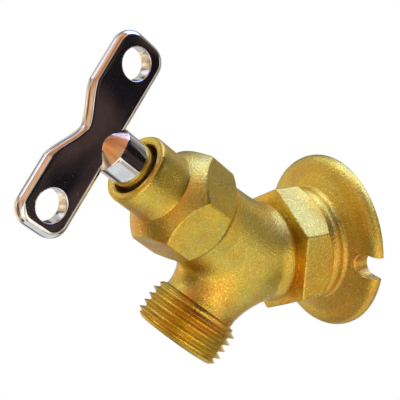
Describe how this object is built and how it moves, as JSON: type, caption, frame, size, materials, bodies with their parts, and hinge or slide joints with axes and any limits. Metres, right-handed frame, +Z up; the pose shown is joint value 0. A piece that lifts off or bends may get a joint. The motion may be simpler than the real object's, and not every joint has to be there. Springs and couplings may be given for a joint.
{
  "type": "hose bib",
  "caption": "Wall-flanged brass garden tap with a slanted hose outlet, a shielded valve stem and a loose chrome tee key.",
  "frame": {"origin": "centre of the flange's wall face, on the inlet axis", "axes": "+Y into the wall along the inlet, +Z up, +X to the right seen from in front of the tap; stem and outlet lean over -Y"},
  "size_m": [0.0504, 0.0979, 0.0927],
  "materials": {
    "cast_brass": "sand-cast, fine grain",
    "bonnet_brass": "sand-cast, fine grain",
    "turned_brass": "machined, satin",
    "fibre": "pressed fibre",
    "graphite_packing": "braided graphite",
    "seat_rubber": "matt",
    "key_chrome": "polished plating on die casting"
  },
  "bodies": {
    "casting": {"body": "cast_brass", "bonnet": "bonnet_brass", "bonnet_gasket": "fibre", "packing_washer": "turned_brass", "packing_ring_lower": "graphite_packing", "packing_ring_upper": "graphite_packing", "packing_gland": "turned_brass", "packing_nut": "turned_brass"},
    "disc": {"disc_holder": "turned_brass", "seat_washer": "seat_rubber", "washer_screw": "turned_brass"},
    "spindle": {"stem": "turned_brass"},
    "key": {"tee_key": "key_chrome"}
  },
  "joints": [
    {"name": "stem_lift", "type": "slide", "parent": "casting", "child": "disc", "axis": [0, -0.766, 0.6428], "range_m": [0, 0.0055]},
    {"name": "stem_turn", "type": "hinge", "parent": "disc", "child": "spindle", "pos_m": [0, -0.0313, 0.0021], "axis": [0, -0.766, 0.6428], "range_deg": [0, 778]},
    {"name": "key_pull", "type": "slide", "parent": "spindle", "child": "key", "axis": [0, -0.766, 0.6428], "range_m": [0, 0.03]}
  ],
  "couplings": [
    {"joint": "stem_lift", "follows": "stem_turn", "m_per_rad": 0.00040425}
  ]
}
